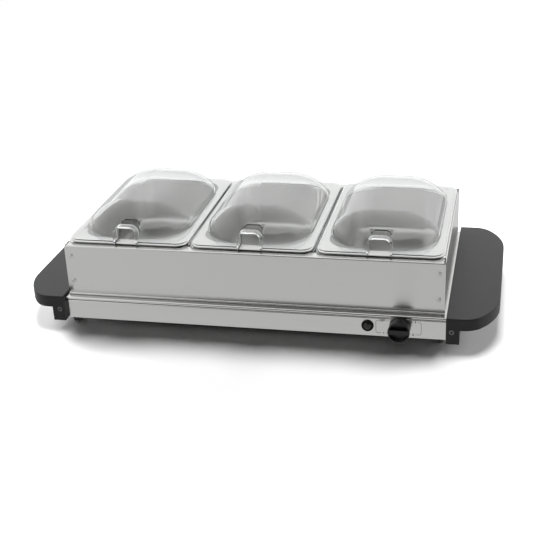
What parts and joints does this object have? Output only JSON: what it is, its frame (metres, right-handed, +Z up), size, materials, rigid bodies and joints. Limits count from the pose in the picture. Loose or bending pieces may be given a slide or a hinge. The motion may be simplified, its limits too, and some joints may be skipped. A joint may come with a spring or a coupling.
{
  "type": "electric buffet server",
  "caption": "Long electric buffet server: heated plate with moulded end handles, lift-off sheet frame, drawn pans hung side by side and clear domed lids with spoon slots.",
  "frame": {"origin": "on the table, under the middle of the server: the centre of the underside of its bounding box", "axes": "+X along the length to the user's right, -Y towards the user and the knob, +Z up"},
  "size_m": [0.6344, 0.325, 0.1476],
  "materials": {
    "polished_sheet": "smooth bright-finished stainless sheet",
    "drawn_pan_steel": "bright drawn stainless steel",
    "clear_lid": "clear moulded plastic",
    "plated_sheet": "plain zinc-plated sheet",
    "zinc_fasteners": "bright zinc plating",
    "black_screws": "blackened steel",
    "rivets": "plain drawn aluminium",
    "spreader_aluminium": "mill-finish sheet",
    "element_sheath": "oxidised sheath",
    "pin_steel": "nickel plated",
    "handle_moulding": "fine-grained black moulding",
    "knob_moulding": "satin black moulding",
    "bezel_moulding": "smooth black moulding",
    "lamp_lens": "dark tinted lens",
    "neon_glass": "clear glass",
    "phenolic": "dull phenolic moulding",
    "terminal_ceramic": "unglazed",
    "brass_screws": "turned brass",
    "fuse_ceramic": "unglazed",
    "gland_rubber": "moulded rubber",
    "foot_rubber": "moulded rubber",
    "lead_brown": "heat-resistant insulation",
    "lead_blue": "heat-resistant insulation",
    "lead_green": "heat-resistant insulation"
  },
  "bodies": {
    "base": {"warming_plate": "polished_sheet", "front_panel": "polished_sheet", "rear_panel": "polished_sheet", "bottom_cover": "plated_sheet", "heat_shield": "plated_sheet", "thermostat_bracket": "plated_sheet", "lamp_clip": "plated_sheet", "element_clamps": "plated_sheet", "plate_studs": "zinc_fasteners", "stud_nuts": "zinc_fasteners", "clamp_studs": "zinc_fasteners", "clamp_nuts": "zinc_fasteners", "shield_screws": "zinc_fasteners", "cover_screws": "zinc_fasteners", "foot_screws": "zinc_fasteners", "handle_screws": "black_screws", "bracket_screws": "zinc_fasteners", "thermostat_nut": "zinc_fasteners", "heat_spreader": "spreader_aluminium", "heating_element": "element_sheath", "element_pins": "pin_steel", "left_handle": "handle_moulding", "right_handle": "handle_moulding", "lamp_bezel": "bezel_moulding", "lamp_lens": "lamp_lens", "neon_lamp": "neon_glass", "thermostat_body": "phenolic", "terminal_block": "terminal_ceramic", "terminal_screws": "brass_screws", "earth_screw": "brass_screws", "thermal_fuse": "fuse_ceramic", "cord_gland": "gland_rubber", "gland_nut": "bezel_moulding", "rubber_feet": "foot_rubber", "lead_live": "lead_brown", "lead_switched": "lead_brown", "lead_fused": "lead_brown", "lead_lamp": "lead_brown", "lead_neutral": "lead_blue", "lead_lamp_return": "lead_blue", "lead_earth": "lead_green"},
    "knob": {"control_knob": "knob_moulding", "thermostat_shaft": "zinc_fasteners"},
    "frame": {"frame_front": "polished_sheet", "frame_rear": "polished_sheet", "frame_left": "polished_sheet", "frame_right": "polished_sheet", "frame_rivets": "rivets"},
    "left_pan": {"pan_left": "drawn_pan_steel"},
    "centre_pan": {"pan_centre": "drawn_pan_steel"},
    "right_pan": {"pan_right": "drawn_pan_steel"},
    "left_lid": {"lid_left": "clear_lid"},
    "centre_lid": {"lid_centre": "clear_lid"},
    "right_lid": {"lid_right": "clear_lid"}
  },
  "joints": [
    {"name": "knob_turn", "type": "hinge", "parent": "base", "child": "knob", "pos_m": [0.195, -0.1538, 0.0222], "axis": [0, 1, 0], "range_deg": [0, 240]},
    {"name": "frame_lift", "type": "slide", "parent": "base", "child": "frame", "axis": [0, 0, 1], "range_m": [0, 0.1]},
    {"name": "left_pan_lift", "type": "slide", "parent": "frame", "child": "left_pan", "axis": [0, 0, 1], "range_m": [0, 0.08]},
    {"name": "centre_pan_lift", "type": "slide", "parent": "frame", "child": "centre_pan", "axis": [0, 0, 1], "range_m": [0, 0.08]},
    {"name": "right_pan_lift", "type": "slide", "parent": "frame", "child": "right_pan", "axis": [0, 0, 1], "range_m": [0, 0.08]},
    {"name": "left_lid_lift", "type": "slide", "parent": "left_pan", "child": "left_lid", "axis": [0, 0, 1], "range_m": [0, 0.06]},
    {"name": "centre_lid_lift", "type": "slide", "parent": "centre_pan", "child": "centre_lid", "axis": [0, 0, 1], "range_m": [0, 0.06]},
    {"name": "right_lid_lift", "type": "slide", "parent": "right_pan", "child": "right_lid", "axis": [0, 0, 1], "range_m": [0, 0.06]}
  ]
}
